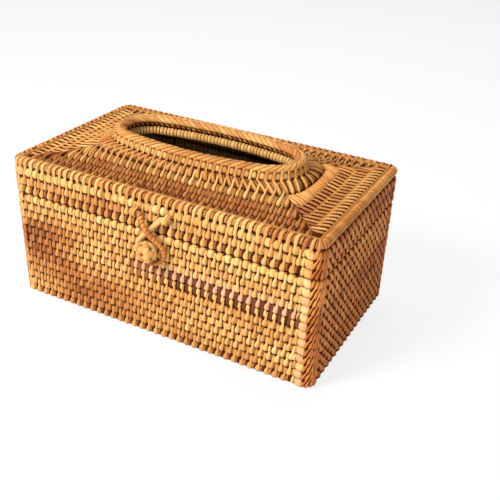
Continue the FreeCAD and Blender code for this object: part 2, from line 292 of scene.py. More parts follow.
class Wire:
    # a shader socket that takes part in sums
    def __init__(self, tree, socket=None):
        self.tree = tree
        self.socket = socket

    def node(self, kind, settings=None, inputs=None, out=0):
        made = self.tree.nodes.new(kind)
        for key, value in (settings or {}).items():
            setattr(made, key, value)
        for key, value in (inputs or {}).items():
            if isinstance(value, Wire):
                self.tree.links.new(value.socket, made.inputs[key])
            else:
                made.inputs[key].default_value = value
        return Wire(self.tree, made.outputs[out])

    def sum(self, operation, other, swapped=False):
        first, second = (other, self) if swapped else (self, other)
        return self.node("ShaderNodeMath", {"operation": operation}, {0: first, 1: second})

    def __add__(self, other):
        return self.sum("ADD", other)

    def __mul__(self, other):
        return self.sum("MULTIPLY", other)

    def __sub__(self, other):
        return self.sum("SUBTRACT", other)

    def __rsub__(self, other):
        return self.sum("SUBTRACT", other, True)

    __radd__ = __add__
    __rmul__ = __mul__

    def scaled(self, amount):
        return self.node("ShaderNodeVectorMath", {"operation": "SCALE"}, {0: self, "Scale": amount})

    def mixed(self, other, factor):
        return self.node("ShaderNodeMix", {"data_type": "RGBA"}, {0: factor, 6: self, 7: other}, 2)

    def noise(self, scale, detail, dimensions="3D"):
        # self is the place, stretched by scale
        place = self.node("ShaderNodeMapping", {}, {0: self, "Scale": scale})
        return self.node("ShaderNodeTexNoise", {"noise_dimensions": dimensions},
                         {"Vector": place, "Scale": 1.0, "Detail": detail})

    def feed(self, shader, socket):
        self.tree.links.new(self.socket, shader.inputs[socket])


def newMaterial(name):
    material = bpy.data.materials.new(name)
    material.use_nodes = True
    return material, Wire(material.node_tree), material.node_tree.nodes["Principled BSDF"]


def caneMaterial(name, gloss, streak, tuckShadeDepth, shine):
    material, w, shader = newMaterial(name)
    peel = w.node("ShaderNodeAttribute", {"attribute_name": "peel"})
    tuckShade = w.node("ShaderNodeAttribute", {"attribute_name": "tuckShade"}, out=2)
    grain = w.node("ShaderNodeUVMap", {"uv_map": "grain"})
    fibres = grain.noise((2.6, 0.16, 1), 4.0, "2D")
    blotches = grain.noise((0.5, 0.22, 1), 2.0, "2D")
    bright = (fibres - 0.5) * (2 * streak) + (blotches - 0.5) * streak + 1.0
    plain = peel.scaled(bright)
    # painted shade: the peel colour is darkened towards the tucked ends and edges of each strip
    paintedShade = w.node("ShaderNodeVectorMath", {"operation": "MULTIPLY"}, {0: plain, 1: (0.26, 0.19, 0.13)})
    plain.mixed(paintedShade, tuckShade * tuckShadeDepth).feed(shader, "Base Color")
    ((fibres - 0.5) * 0.22 + tuckShade * 0.35 + gloss).feed(shader, "Roughness")
    bump = w.node("ShaderNodeBump", {}, {"Strength": 0.35, "Distance": 0.0004, "Height": fibres})
    bump.feed(shader, "Normal")
    shader.inputs["Specular IOR Level"].default_value = shine
    return material


caneLooks = {
    # slot: name, gloss, streak, depth of the painted shade at the tucked ends and edges, shine
    "bare_cane": ("bareCane", 0.8, 0.3, 0.5, 0.05),
    "bound_cane": ("boundCane", 0.4, 0.35, 0.8, 0.13),
    "floor_cane": ("floorCane", 0.5, 0.3, 0.8, 0.13),
    "edge_wrap": ("edgeWrap", 0.36, 0.3, 0.75, 0.13),
    "slot_braid": ("slotBraid", 0.34, 0.3, 0.85, 0.13),
    "slot_wrap": ("slotWrap", 0.36, 0.3, 0.85, 0.13),
    "peel_tie": ("peelTie", 0.36, 0.35, 0.7, 0.13),
    "knob_peel": ("knobPeel", 0.32, 0.4, 0.8, 0.13),
    "loop_cane": ("loopCane", 0.34, 0.4, 0.7, 0.13),
}
materials = {slotName: caneMaterial(*look) for slotName, look in caneLooks.items()}
print("materials made")


# runs of one tone along a row: each peel strip is a few dozen stitches long
def runTones(rng, along, shortest=25, longest=120, spread=0.07):
    tones = np.zeros(len(along))
    start = -rng.uniform(0, longest)
    while start < along.max() + 1:
        end = start + rng.uniform(shortest, longest)
        tones[(along >= start) & (along < end)] = rng.normal(0, spread)
        start = end
    return tones


stitchProfiles = {
    # place along, lift off the outer face, width, swing: a long stitch is broad below and pinched above
    "long": [(-3.1, -1.8, 2.2, -0.7), (-2.7, -0.7, 2.9, -0.75), (-1.8, -0.1, 3.25, -0.8),
             (-0.6, 0.0, 3.25, -0.8), (0.5, -0.1, 3.0, -0.7), (1.4, -0.25, 2.5, -0.45),
             (2.1, -0.3, 2.0, -0.2), (3.0, -0.15, 1.7), (4.5, 0.02, 1.65), (6.0, 0.05, 1.6),
             (7.0, -0.3, 1.5), (7.7, -1.0, 1.3), (8.2, -2.2, 1.0)],
    "broad": [(-2.9, -2.3, 2.3), (-2.4, -0.95, 2.9), (-1.2, -0.25, 3.1), (0.5, -0.1, 3.0), (2.0, -0.4, 2.7),
              (2.9, -0.6, 2.5), (4.2, -0.3, 2.5), (5.7, -0.15, 2.6), (7.1, -0.4, 2.5), (8.1, -1.1, 2.3),
              (8.7, -2.4, 1.8)],
    "bead": [(-3.0, -1.9, 2.4, -0.4), (-2.5, -0.8, 3.2, -0.4), (-1.3, -0.15, 3.7, -0.4),
             (0.0, 0.0, 3.7, -0.4), (1.3, -0.15, 3.5, -0.3), (2.4, -0.8, 2.9, -0.2), (2.9, -2.1, 2.0, -0.2)],
    "short": [(-2.8, -2.2, 1.3), (-1.9, -0.9, 1.6), (0.0, -0.4, 1.8), (1.9, -0.9, 1.6), (2.8, -2.2, 1.3)],
    "fat": [(-3.0, -1.8, 3.6), (-2.5, -0.7, 4.8), (-1.2, -0.1, 5.5), (0.6, 0.0, 5.4), (2.0, -0.35, 4.9),
            (2.9, -1.8, 3.6)],
    # the ends of the box: straps that lie over one row and dive under both neighbours
    "strap": [(-5.2, -1.9, 1.7), (-4.3, -0.9, 2.5), (-3.0, -0.25, 3.4), (-1.5, -0.02, 4.0), (0.0, 0.0, 4.2),
              (1.5, -0.02, 4.0), (3.0, -0.25, 3.4), (4.3, -0.9, 2.5), (5.2, -1.9, 1.7)],
    "strapFoot": [(-3.0, -1.9, 2.8), (-2.5, -0.8, 3.8), (-1.3, -0.1, 4.2), (0.0, 0.0, 4.2), (1.5, -0.02, 4.0),
                  (3.0, -0.25, 3.4), (4.3, -0.9, 2.5), (5.2, -1.9, 1.7)],
    "strapHead": [(-5.2, -1.9, 1.7), (-4.3, -0.9, 2.5), (-3.0, -0.25, 3.4), (-1.5, -0.02, 4.6),
                  (0.0, 0.0, 5.6), (1.3, -0.1, 5.8), (2.4, -0.8, 5.2), (2.9, -1.9, 4.2)],
}
stitches = {name: modelStitch(name + "Stitch", profile) for name, profile in stitchProfiles.items()}
stitches["insideRib"] = modelStitch("insideRib", [row[:3] for row in stitchProfiles["bead"][::2]], columns=2)
print("stitches modelled:", len(stitches))


def canePut(outward=True):
    def put(a, b, h):
        return outerWall.place(a, h if outward else -wall["cane"] - h, b)
    return put


ringSides = 10


def caneRing(z, high, thick, inward=0.0):
    # a cane bent round the box, with more stations in the corners
    stations = []
    bend = np.linspace(0, 1, 6)[1:-1] * cornerBend
    for start, run in zip(outerWall.starts, outerWall.runs):
        stations += [start + np.linspace(0, run[0], 6), start + run[0] + bend]
    along = np.concatenate(stations)[:, None] * np.ones(ringSides)
    angle = fullTurn(ringSides)
    out = -wall["cane"] / 2 - inward + thick * np.cos(angle)
    return outerWall.place(along, out, z + high * np.sin(angle))


hinge = {"axisY": 61.9, "axisZ": 80.4, "wallCoreZ": 73.75, "backFrom": 40, "room": 4.5, "stitchRoom": 5.9,
         "wallRound": 4.3, "lidRound": 6.2}
hingeTieX = np.array([span("hinge_tie_left"), span("hinge_tie_right")]).mean(1)[:, 0]


def byTie(p, room):
    return (np.abs(p[..., :1] - hingeTieX) < room).any(-1) & (p[..., 1] > hinge["backFrom"])


def clearTies(put, axisZ, radius):
    # stitches by a hinge tie draw back from the round it sweeps
    def putClear(a, b, h):
        p = put(a, b, h)
        dy, dz = p[..., 1] - hinge["axisY"], p[..., 2] - axisZ
        away = np.hypot(dy, dz)
        push = byTie(p, hinge["room"]) & (away < radius)
        scale = np.where(push, radius / np.maximum(away, 0.01), 1)
        p[..., 1] = hinge["axisY"] + dy * scale
        p[..., 2] = axisZ + dz * scale
        return p
    return putClear


# rows of the wall and the lid: straps on the two ends, long and short stitches on the front and back
weaving = {
    "height": 5.9, "repeat": 5.9, "endRepeat": 6.5,  # height: of the row that the stitches are drawn for
    "lean": (0.07, -0.42, 0.07, -0.3),  # front, right, back, left
    "shortAt": 0.28, "padAt": 2.2, "padRoom": 5.4, "fillWidth": 0.6, "fillLift": -0.3, "strapWidth": 0.64,
    "turnsAt": (0.16, 0.42, 0.68, 0.92), "turnLean": (0.42, -0.2), "turnWidth": 0.74,
    "insidePitch": 3.4, "insideMargin": 2.0,
    "core": 3.2, "coreByTie": 3.05, "coreThick": 2.2, "broadFrom": 1.0,
}


def weaveRow(node, number, seed, hasAbove, toneOf, tieGap=False, clear=None):
    low, high = span(node)
    z = (low[2] + high[2]) / 2
    tall = (high[2] - low[2]) / weaving["height"]
    weave = Weave(seed)
    rng = weave.rng
    put = clearTies(canePut(), *clear) if clear else canePut()
    longs, shorts, pads, fills, straps, turns, inside = ([] for k in range(7))
    for side, (start, run) in enumerate(zip(outerWall.starts, outerWall.runs)):
        length = run[0]
        longSide = side in (0, 2)
        usable = length - (weaving["padRoom"] if longSide else 0)
        count = int(round(usable / weaving["repeat" if longSide else "endRepeat"]))
        repeat = usable / count
        offset = number * (0.5 * repeat + weaving["lean"][side] * weaving["height"]) % repeat
        spots = start + np.arange(count) * repeat + offset * 0.999
        if longSide:
            longs.append(spots)
            shorts.append(spots + weaving["shortAt"] * repeat)
            pads.append([start + length - weaving["padAt"]])
            fills.append([start + length - weaving["padRoom"]])
        else:
            straps.append(spots)
        turns.append(start + length + np.array(weaving["turnsAt"]) * cornerBend)
        margin = weaving["insideMargin"]
        insideCount = int(round((length - 2 * margin) / weaving["insidePitch"]))
        inside.append(evenly(start + margin, start + length - margin, insideCount))
    longs, shorts, pads, fills, straps, turns, inside = (
        np.concatenate(s) for s in (longs, shorts, pads, fills, straps, turns, inside))
    if tieGap:
        longs, shorts, inside = (
            s[~byTie(outerWall.place(s, 0 * s, 0.0), hinge["stitchRoom"])] for s in (longs, shorts, inside))

    def lay(stitch, spots, kind, jitter=0.12, put=put, flip=False, **given):
        n = len(spots)
        tone, colour = toneOf(rng, spots, z, kind)
        side = np.searchsorted(outerWall.starts, np.mod(spots, outerWall.total), side="right") - 1
        made = {
            "along": spots + rng.normal(0, jitter, n),
            "across": z + rng.normal(0, 0.05, n),
            "widen": rng.normal(1.0, 0.05, n),
            "lengthen": np.full(n, tall),
            "lean": np.array(weaving["lean"])[side] + rng.normal(0, 0.03, n),
            "lift": rng.normal(-0.08, 0.06, n).clip(-0.3, 0.0),
            "colour": colour,
        }
        made.update(given)
        broad = (tone > weaving["broadFrom"]) & (kind == "long") & hasAbove
        weave.lay(stitches[stitch], put, flip=flip, **{k: v[~broad] for k, v in made.items()})
        weave.lay(stitches["broad"], put, **{k: v[broad] for k, v in made.items()})

    upward = "long" if hasAbove else "bead"
    lay(upward, longs, "long")
    lay("short", shorts, "short")
    lay("fat", pads, "fat", jitter=0.25, lean=rng.normal(-0.06, 0.08, len(pads)))
    lay("bead", fills, "fill", widen=np.full(len(fills), weaving["fillWidth"]),
        lift=np.full(len(fills), weaving["fillLift"]))
    strap = "strapHead" if not hasAbove else "strapFoot" if number == 0 else "strap"
    lay(strap, straps, "strap", widen=rng.normal(weaving["strapWidth"], 0.05, len(straps)))
    turnLean = np.tile(np.linspace(*weaving["turnLean"], len(weaving["turnsAt"])), len(outerWall.runs))
    lay(upward, turns, "turn", lean=turnLean + rng.normal(0, 0.05, len(turns)),
        widen=np.full(len(turns), weaving["turnWidth"]))
    lay("insideRib", inside, "inside", put=canePut(False), flip=True)
    weave.core(caneRing(z, weaving["coreByTie" if tieGap else "core"] * tall, weaving["coreThick"]))
    return weave


# tones of the rows; a patch is depth, x, z and its two half sizes on the front
rowTones = {
    "base": 0.36, "right": 0.32, "left": 0.2, "endDepth": 6.0, "short": 0.42,
    "upperWall": -0.08, "lidTop": -0.1,
    "wallPatches": ((0.42, -92, 44, 36, 24), (0.3, -48, 14, 40, 12)),
    "lidPatches": ((0.3, -38, 84, 16, 9),),
    "bandFrom": (-19, 18), "bandTones": (0.75, 1.12), "bandShorts": {5: 1.15, 6: 0.1},
}


def toneFor(below):
    # below: rows down from the seam, so the rows of the lid are 0, -1 and -2
    def toneOf(rng, spots, z, kind):
        n = len(spots)
        tone = rowTones["base"] + runTones(rng, spots) + rng.normal(0, 0.05, n)
        x, y, _ = outerWall.place(spots, 0 * spots, z).T
        front = y < -halfWidth + 1
        right, left = x > halfLength - rowTones["endDepth"], x < rowTones["endDepth"] - halfLength
        # painted shade: the right end of the box, which is in shade, is drawn darker
        tone = tone + right * rowTones["right"] + left * rowTones["left"]
        # painted shade: the short stitches, which sit recessed between the long ones, are drawn darker
        if kind == "short":
            tone = tone + rowTones["short"]
        if 0 < below < 5:
            tone = tone + rowTones["upperWall"]
        if below == -2:
            tone = tone + front * rowTones["lidTop"]
        for depth, cx, cz, rx, rz in rowTones["wallPatches" if below > 0 else "lidPatches"]:
            tone = tone + front * depth * np.clip(1.25 - np.hypot((x - cx) / rx, (z - cz) / rz), 0, 1)
        colour = peelTint(tone) * np.where(right[:, None], tints["redder"], 1.0)
        band = (front & (x > rowTones["bandFrom"][0]))[:, None]
        if below == 6 and kind == "long":
            dark = np.interp(x, rowTones["bandFrom"], rowTones["bandTones"]) + rng.normal(0, 0.05, n)
            tone = np.where(band[:, 0], dark, tone)
            colour = np.where(band, peelTint(tone), colour)
        if below == 5 and kind == "long":
            colour = np.where(band, linear(tints["pink"]) * rng.uniform(0.85, 1.1, (n, 1)), colour)
        if below in rowTones["bandShorts"] and kind == "short":
            colour = np.where(band, peelTint(np.full(n, rowTones["bandShorts"][below])), colour)
        if below > 0 and kind == "fat":
            colour = np.where(front[:, None], 0.5 * colour + 0.5 * linear(tints["pad"]), colour)
        # painted shade: the stitches inside the box are darkened
        if kind == "inside":
            colour = colour * tints["inside"]
        return tone, colour
    return toneOf


for number, node in enumerate(wallRows):
    below = len(wallRows) - number
    clear = (hinge["wallCoreZ"], hinge["wallRound"]) if below == 2 else None
    weave = weaveRow(node, number, 100 + number, below > 1, toneFor(below), below == 1, clear)
    weave.make("woven_" + node, [node], "box", "bound_cane")
print("wall rows woven:", len(wallRows))

for number, node in enumerate(lidRows):
    clear = (hinge["axisZ"], hinge["lidRound"]) if number == 1 else None
    hasAbove = number < len(lidRows) - 1
    weave = weaveRow(node, number, 200 + number, hasAbove, toneFor(-number), number == 0, clear)
    weave.make("woven_" + node, [node], "lid", "bound_cane")
print("lid rows woven:", len(lidRows))


class Section:
    # a smooth line in the plane across the wall: distance out and height, with its outward side
    def __init__(self, points, smooth=4):
        points = np.array(points, float)
        last = len(points) - 1
        steps = np.linspace(0, last, last * smooth + 1)
        low = np.clip(steps.astype(int), 0, last - 1)
        t = (steps - low)[:, None]
        p1, p2 = points[low], points[low + 1]
        m1 = (p2 - points[np.clip(low - 1, 0, None)]) / 2
        m2 = (points[np.clip(low + 2, None, last)] - p1) / 2
        self.line = ((2 * t ** 3 - 3 * t ** 2 + 1) * p1 + (t ** 3 - 2 * t ** 2 + t) * m1
                     + (3 * t ** 2 - 2 * t ** 3) * p2 + (t ** 3 - t ** 2) * m2)
        run = np.gradient(self.line, axis=0)
        run /= np.linalg.norm(run, axis=1)[:, None]
        self.side = np.stack([run[:, 1], -run[:, 0]], -1)
        self.at = runLength(self.line)
        self.length = self.at[-1]

    def place(self, b, h):
        spot = readOff(b, self.at, self.line) + h[..., None] * readOff(b, self.at, self.side)
        return spot[..., 0], spot[..., 1]


def sectionPut(section):
    def put(a, b, h):
        out, z = section.place(b, h)
        return outerWall.place(a, out, z)
    return put


def wrapProfile(length, width, dip=0.7, rows=8):
    # a strip that lies on its line all the way and dives at both ends; width: one value, or places and values
    made = []
    for t in np.linspace(0, 1, rows):
        end = endShade(t, 0.12)
        wide = np.interp(t * length, *width) if isinstance(width, tuple) else width
        made.append((t * length, -dip * end, wide * (1 - 0.25 * end)))
    return made


# lid edge: close wraps along the right end, long stitches with fill between on the other three sides
edgeRoll = {
    "halfWide": 3.1, "halfHigh": 3.2, "cornerShare": 0.6,
    "pitch": 2.45, "wrapWidth": 2.75, "wrapTone": 0.6, "wrapLean": -0.18,
    "longPitch": 4.7, "longWidth": ((6.0, 9.5), (1.7, 2.9)), "longLean": 0.14,
    "frontTone": 0.32, "otherTone": 0.55, "reddishFrom": 72, "reddish": 0.3,
    "fillShift": 1.2, "fillLift": -0.35, "fillDarker": 0.35,
    "core": (2.7, 2.5), "filler": (2.8, 1.4, 2.9), "fillerDrop": 0.1,  # half high, half thick, how far in
}
edgeLow, edgeHigh = span("lid_edge_roll")
edgeZ = (edgeLow[2] + edgeHigh[2]) / 2
rollLine = Section([(edgeRoll["halfWide"] * (math.cos(t) - 1), edgeZ + edgeRoll["halfHigh"] * math.sin(t))
                    for t in np.radians(np.arange(-75, 211, 15))])
overLine = Section([(out, edgeLow[2] + up) for out, up in (
    (-2.0, -6.0), (-0.5, -5.0), (0.05, -3.1), (-0.2, -1.3), (-0.6, 0.0), (-0.15, 1.4), (0.0, 3.2),
    (-0.5, 4.8), (-1.6, 6.0), (-3.1, 6.4), (-4.8, 6.2), (-6.2, 5.4), (-7.0, 4.2))])


def wrapEdge():
    weave = Weave(300)
    rng = weave.rng
    wrap = modelStitch("edgeWrap", wrapProfile(rollLine.length, edgeRoll["wrapWidth"]))
    over = modelStitch("edgeLong", wrapProfile(overLine.length, edgeRoll["longWidth"], rows=16))
    onRoll, overRoll = sectionPut(rollLine), sectionPut(overLine)
    first = outerWall.starts[1] - edgeRoll["cornerShare"] * cornerBend
    last = outerWall.starts[1] + outerWall.runs[1][0] + edgeRoll["cornerShare"] * cornerBend
    count = int((last - first) / edgeRoll["pitch"])
    spots = evenly(first, last, count)
    tone = edgeRoll["wrapTone"] + runTones(rng, spots, 30, 140, 0.06) + rng.normal(0, 0.06, count)
    weave.lay(wrap, onRoll, spots, lean=edgeRoll["wrapLean"], widen=rng.normal(1, 0.04, count),
              lift=rng.normal(-0.1, 0.05, count).clip(-0.3, 0), colour=peelTint(tone))
    rest = outerWall.total - (last - first)
    count = int(rest / edgeRoll["longPitch"])
    spots = evenly(last, last + rest, count)
    x, y, _ = outerWall.place(spots, 0 * spots, edgeZ).T
    front = y < -halfWidth + 3
    tone = np.where(front, edgeRoll["frontTone"], edgeRoll["otherTone"]) + rng.normal(0, 0.09, count)
    reddish = (front & (x > edgeRoll["reddishFrom"])) * edgeRoll["reddish"]
    tone = tone + reddish + runTones(rng, spots, 40, 120, 0.05)
    lean = edgeRoll["longLean"] + rng.normal(0, 0.03, count)
    weave.lay(over, overRoll, spots, lean=lean, widen=rng.normal(1, 0.06, count), colour=peelTint(tone))
    fills = spots + 0.5 * rest / count + edgeRoll["fillShift"]
    weave.lay(wrap, onRoll, fills, lean=lean, lift=edgeRoll["fillLift"],
              colour=peelTint(tone + edgeRoll["fillDarker"]))
    weave.core(caneRing(edgeZ, *edgeRoll["core"]))
    # a second cane closes the slit to the crown
    weave.core(caneRing(edgeZ - edgeRoll["fillerDrop"], *edgeRoll["filler"]), tints["edgeFiller"])
    weave.make("wrapped_lid_edge", ["lid_edge_roll"], "lid", "edge_wrap")


wrapEdge()
print("lid edge wrapped")

# crown of the lid: rows that turn from the rectangle into the oval as they climb
crown = {
    "rise": 9.9, "sweep": 2.5, "corner": 4.0, "thick": 5.6, "coreHigh": 2.0,
    "pitch": 5.3, "lean": -0.25, "width": 0.84, "shortShade": 0.5,
    "endPitch": 4.7, "endLean": (-0.5, -0.4, 0.0, 0.0), "leftLean": 0.25, "endWidth": 0.44,
    "ridge": 3, "ridgePitch": 2.7, "ridgeLean": 0.3, "ridgeWidth": 0.7, "ridgeShade": 1.1,
    "legPitch": 4.8, "legWidth": 0.8,
    "tone": 0.5, "frontTones": (0.24, 0.3, 0.14, -0.1, 0.06), "rightTone": 0.06, "leftTone": -0.04,
    "endsFrom": 70, "mitreFrom": 50,
}
slot = {"length": 121.0, "width": 40.0, "endRadius": 15.0, "flatAngle": 25.0, "border": 9.2}
partSteps = 14


def throughThree(a, b, c):
    # points of the arc or line through three points
    t = np.linspace(0, 1, partSteps, endpoint=False)[:, None]
    a, b, c = (np.array(q, float) for q in (a, b, c))
    d = 2 * (a[0] * (b[1] - c[1]) + b[0] * (c[1] - a[1]) + c[0] * (a[1] - b[1]))
    if abs(d) < 1e-6:
        return a + (c - a) * t
    sa, sb, sc = (a @ a), (b @ b), (c @ c)
    centre = np.array([sa * (b[1] - c[1]) + sb * (c[1] - a[1]) + sc * (a[1] - b[1]),
                       sa * (c[0] - b[0]) + sb * (a[0] - c[0]) + sc * (b[0] - a[0])]) / d
    first = math.atan2(*(a - centre)[::-1])
    last = math.atan2(*(c - centre)[::-1])
    angle = first + (last - first) % (2 * math.pi) * t
    return centre + np.linalg.norm(a - centre) * np.concatenate([np.cos(angle), np.sin(angle)], 1)


def closedLine(parts):
    # four parts, then the same four turned half round
    parts = parts + [tuple((-x, -y) for x, y in part) for part in parts]
    return np.concatenate([throughThree(*part) for part in parts])


def rectangleLine():
    a, b, r = halfLength - wall["cane"], halfWidth - wall["cane"], crown["corner"]
    g = r * math.sqrt(0.5)
    return closedLine([
        ((-a + r, -b), (0, -b), (a - r, -b)), ((a - r, -b), (a - r + g, -b + r - g), (a, -b + r)),
        ((a, -b + r), (a, 0), (a, b - r)), ((a, b - r), (a - r + g, b - r + g), (a - r, b))])


def ovalLine(offset):
    endX = slot["length"] / 2 - slot["endRadius"]
    spare = slot["width"] / 2 - slot["endRadius"]
    r = slot["endRadius"] + offset
    meet = math.atan2((endX ** 2 - spare ** 2) / (2 * spare), endX)
    flat = math.radians(slot["flatAngle"])
    between = (meet + flat) / 2
    half = slot["width"] / 2 + offset

    def end(angle, side=1):
        return (side * (endX + r * math.cos(angle)), r * math.sin(angle))

    return closedLine([
        (end(-meet, -1), (0, -half), end(-meet)), (end(-meet), end(-between), end(-flat)),
        (end(-flat), end(0), end(flat)), (end(flat), end(between), end(meet))])


crownSlotZ = edgeZ + crown["rise"]
shares = np.linspace(0, 1, 41)
crownGrid = np.zeros((len(shares), 8 * partSteps + 1, 3))
outside, inside = rectangleLine(), ovalLine(slot["border"])
for k, share in enumerate(shares):
    crownGrid[k, :-1, :2] = outside + (inside - outside) * share
    crownGrid[k, -1, :2] = crownGrid[k, 0, :2]
    crownGrid[k, :, 2] = edgeZ + crown["rise"] * share ** crown["sweep"]
alongRun = np.gradient(crownGrid, axis=1)
alongRun[:, 0] = alongRun[:, -1] = crownGrid[:, 1] - crownGrid[:, -2]
crownUp = np.cross(alongRun, np.gradient(crownGrid, axis=0))
crownUp /= np.linalg.norm(crownUp, axis=2)[:, :, None]


def onGrid(grid, share, m):
    rowCount, columns = grid.shape[0] - 1, grid.shape[1] - 1
    i = np.clip(share * rowCount, 0, rowCount)
    j = np.mod(m, columns)
    i0 = np.clip(i.astype(int), 0, rowCount - 1)
    j0 = np.clip(j.astype(int), 0, columns - 1)
    ti, tj = (i - i0)[..., None], (j - j0)[..., None]
    return ((1 - ti) * ((1 - tj) * grid[i0, j0] + tj * grid[i0, j0 + 1])
            + ti * ((1 - tj) * grid[i0 + 1, j0] + tj * grid[i0 + 1, j0 + 1]))


# half of a long side's and of an end's straight part, and the corner beyond, at every share
sideReach = np.stack([np.abs(crownGrid[:, partSteps, 0]), np.abs(crownGrid[:, 3 * partSteps, 1])])
cornerRun = np.linalg.norm(np.diff(crownGrid[:, partSteps:2 * partSteps + 1], axis=1), axis=2).sum(1)

# the border's legs stand evenly round the slot, and the last row of stitches runs up into them
legLine = runLength(crownGrid[-1])
legCount = int(round(legLine[-1] / crown["legPitch"]))
legPlaces = np.interp(evenly(0, legLine[-1], legCount, 0), legLine, np.arange(len(legLine)))


class CrownRow:
    # sides are 0 to 3: front, right, back, left
    def __init__(self, number):
        self.number = number
        self.count = len(crownRows)
        self.at = runLength(crownGrid[int(round((number + 0.5) / self.count * (len(shares) - 1)))])
        self.length = self.at[-1]
        partAt = self.at[::partSteps]
        self.middles = (partAt[0:8:2] + partAt[1:8:2]) / 2
        self.reach = (partAt[1:8:2] - partAt[0:8:2] + partAt[2] - partAt[1]) / 2

    def fromMiddle(self, a, side):
        return np.mod(a - self.middles[side] + self.length / 2, self.length) - self.length / 2

    def spots(self, sides, pitch, shift):
        # evenly out from the middle of each side to its mitres
        made = []
        for side in sides:
            reach = self.reach[side]
            count = int(reach / pitch) + 2
            steps = (np.arange(-count, count + 1) + shift % 1) * pitch
            steps = steps[np.abs(steps) < reach + 0.4 * pitch]
            made.append(self.middles[side] + np.clip(steps, 0.3 - reach, reach - 0.3))
        return np.concatenate(made)

    def put(self, under=False, fan=False):
        half = crown["thick"] / 2

        def placed(a, b, h):
            middle = a.mean(axis=-1, keepdims=True) if a.ndim > 1 else a
            share = np.clip((self.number + b) / self.count, 0, 1)
            m = np.interp(np.mod(a, self.length), self.at, np.arange(len(self.at)))
            corner = np.interp(share, shares, cornerRun)
            for side in () if fan else range(4):
                straight = np.interp(share, shares, sideReach[side % 2])
                away = self.fromMiddle(a, side)
                past = np.clip((np.abs(away) - straight) / corner, 0, 0.5)
                t = 0.5 + np.clip(away / (2 * straight), -0.5, 0.5) + np.sign(away) * past
                here = np.abs(self.fromMiddle(middle, side)) <= self.reach[side]
                m = np.where(here, (2 * side + t) * partSteps, m)
            off = (-half - h) if under else (half + h)
            return onGrid(crownGrid, share, m) + onGrid(crownUp, share, m) * off[..., None]
        return placed

    def rings(self):
        # the cane under the stitches
        angle = -fullTurn(ringSides)
        m = np.arange(0, 8 * partSteps, 2.0)[:, None] * np.ones(ringSides)
        share = (self.number + 0.5 + 0.5 * np.cos(angle)[None] * np.ones(m.shape)) / self.count
        lift = (crown["coreHigh"] * np.sin(angle))[None, :, None]
        return onGrid(crownGrid, share, m) + onGrid(crownUp, share, m) * lift


def crownTone(rng, number, spots, p):
    tone = crown["tone"] + runTones(rng, spots, 40, 140, 0.06) + rng.normal(0, 0.06, len(spots))
    x, y = p[:, 0], p[:, 1]
    front = (y < 0) & (np.abs(y) > np.abs(x) - crown["mitreFrom"])
    atEnd = (x > crown["endsFrom"]) * crown["rightTone"] + (x < -crown["endsFrom"]) * crown["leftTone"]
    return tone + np.where(front, crown["frontTones"][number], atEnd)


def weaveCrown():
    frontBack, ends = (0, 2), (1, 3)
    tall = weaving["height"]
    for number, node in enumerate(crownRows):
        row = CrownRow(number)
        weave = Weave(400 + number)
        rng = weave.rng

        def lay(stitch, spots, lean=0.0, wide=1.0, shade=1.0, put=row.put(), flip=False):
            n = len(spots)
            p = row.put()(spots, np.full(n, 0.5), 0 * spots)
            weave.lay(stitches[stitch], put, spots + rng.normal(0, 0.1, n), across=0.5, lengthen=1 / tall,
                      lean=(lean + rng.normal(0, 0.02, n)) * tall, widen=wide * rng.normal(0.94, 0.05, n),
                      lift=rng.normal(-0.08, 0.06, n).clip(-0.3, 0),
                      colour=shade * peelTint(crownTone(rng, number, spots, p)), flip=flip)

        if number == len(crownRows) - 1:
            # the last row runs up into the legs of the border
            spots = np.interp(legPlaces, np.arange(len(row.at)), row.at)
            lay("bead", spots, wide=crown["legWidth"], put=row.put(fan=True))
            lay("short", spots + 0.5 * crown["legPitch"], shade=crown["shortShade"], put=row.put(fan=True))
        else:
            shift = 0.5 + (0.5 + crown["lean"] * tall / crown["pitch"]) * number
            shorts = ("short", weaving["shortAt"], crown["shortShade"])
            for stitch, after, shade in (("long", 0.0, 1.0), shorts):
                spots = row.spots(frontBack, crown["pitch"], shift + after)
                lay(stitch, spots, crown["lean"], crown["width"], shade)
            lean = crown["endLean"][number]
            spots = row.spots(ends, crown["endPitch"], number * (0.5 + lean * tall / crown["endPitch"]))
            right = row.put()(spots, np.full(len(spots), 0.5), 0 * spots)[:, 0] > 0
            strap = "strapFoot" if number == 0 else "strap"
            if number != crown["ridge"]:
                lay(strap, spots[right], lean, crown["endWidth"])
            lay(strap, spots[~right], crown["leftLean"], crown["endWidth"])
            if number == crown["ridge"]:
                close = row.spots((1,), crown["ridgePitch"], 0.5)
                lay("bead", close, crown["ridgeLean"], crown["ridgeWidth"], crown["ridgeShade"])
        below = row.spots(frontBack + ends, 0.5 * crown["pitch"], 0.5)
        # painted shade: the ribs under the crown are darkened
        lay("insideRib", below, shade=tints["underCrownShade"], put=row.put(True), flip=True)
        weave.core(row.rings())
        weave.make("woven_" + node, [node], "lid", "bound_cane")


weaveCrown()
print("crown woven:", len(crownRows))


class OvalTube:
    # a roll that follows the slot, with its own round section
    def __init__(self, offset, z, halfWide, halfHigh):
        line = ovalLine(offset)
        self.line = np.concatenate([line, line[:1]])
        run = np.gradient(self.line, axis=0)
        run[0] = run[-1] = self.line[1] - self.line[-2]
        run /= np.linalg.norm(run, axis=1)[:, None]
        self.out = np.stack([run[:, 1], -run[:, 0]], -1)
        self.at = runLength(self.line)
        self.length = self.at[-1]
        self.z, self.halfWide, self.halfHigh = z, halfWide, halfHigh

    def spot(self, a, out, z):
        a = np.mod(a, self.length)
        flat = readOff(a, self.at, self.line) + readOff(a, self.at, self.out) * out[..., None]
        return np.concatenate([flat, (self.z + z)[..., None]], -1)

    def place(self, a, angle, h):
        return self.spot(a, (self.halfWide + h) * np.cos(angle), (self.halfHigh + h) * np.sin(angle))

    def rings(self, shrink=0.0, stations=80):
        a = np.linspace(0, self.length, stations, endpoint=False)[:, None] * np.ones(ringSides)
        return self.place(a, np.ones((stations, 1)) * fullTurn(ringSides)[None], -shrink)


